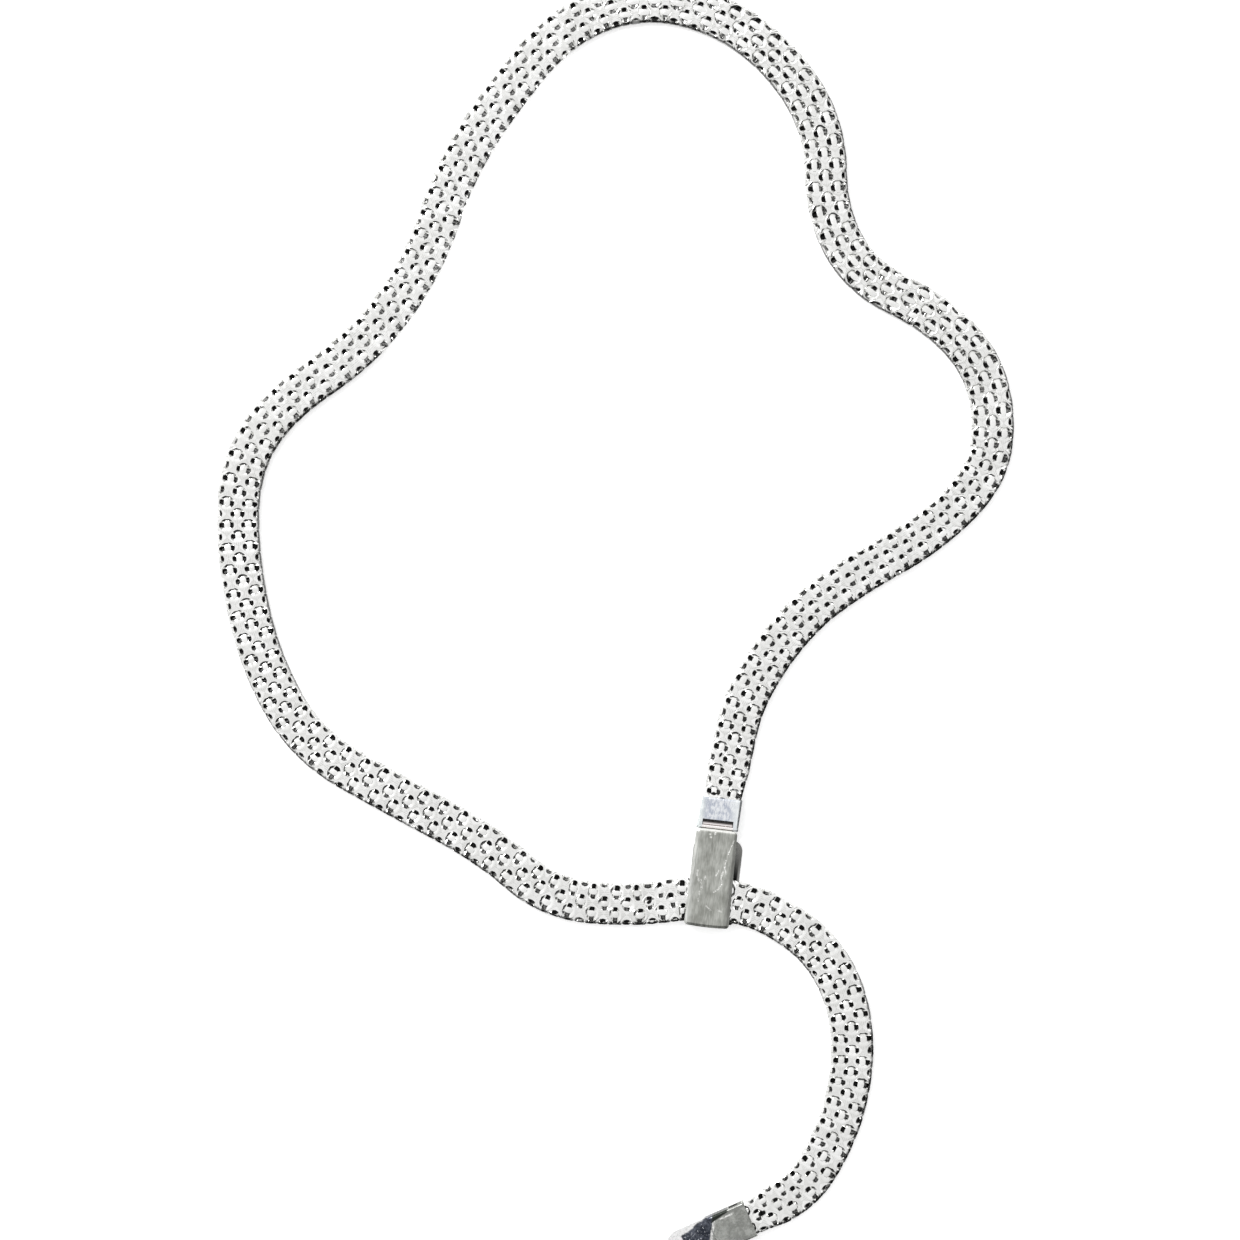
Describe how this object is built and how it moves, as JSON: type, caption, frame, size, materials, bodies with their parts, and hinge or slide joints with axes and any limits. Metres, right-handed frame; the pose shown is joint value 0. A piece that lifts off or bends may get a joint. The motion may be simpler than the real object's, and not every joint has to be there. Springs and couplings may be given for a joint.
{
  "type": "choker",
  "caption": "Flat woven metal mesh choker lying in a loop, its tail passed through a fold-over clasp and ending in a polished tab.",
  "frame": {"origin": "middle of the footprint, on the surface that the choker lies on", "axes": "+Z up from the surface, +Y from the end tab towards the far side of the loop, +X to the right seen from above with +Y up"},
  "size_m": [0.1138, 0.1834, 0.0024],
  "materials": {
    "woven_metal": "bright worn silver-coloured wire, woven in flat columns of overlapping rings",
    "bright_metal": "polished, bluish, with soft rub marks",
    "satin_metal": "grey satin with scratches, small dents and a bright worn rim",
    "tab_metal": "grey satin shank with a dark polished tip"
  },
  "bodies": {
    "choker": {"band_loop": "woven_metal", "band_tail": "woven_metal", "clasp_base": "bright_metal", "tail_tab": "tab_metal"},
    "cover": {"clasp_cover": "satin_metal"}
  },
  "joints": [
    {"name": "clasp_hinge", "type": "hinge", "parent": "choker", "child": "cover", "pos_m": [0.01451, -0.02919, 0.00165], "axis": [-0.9936, 0.1132, 0], "range_deg": [0, 80]}
  ]
}
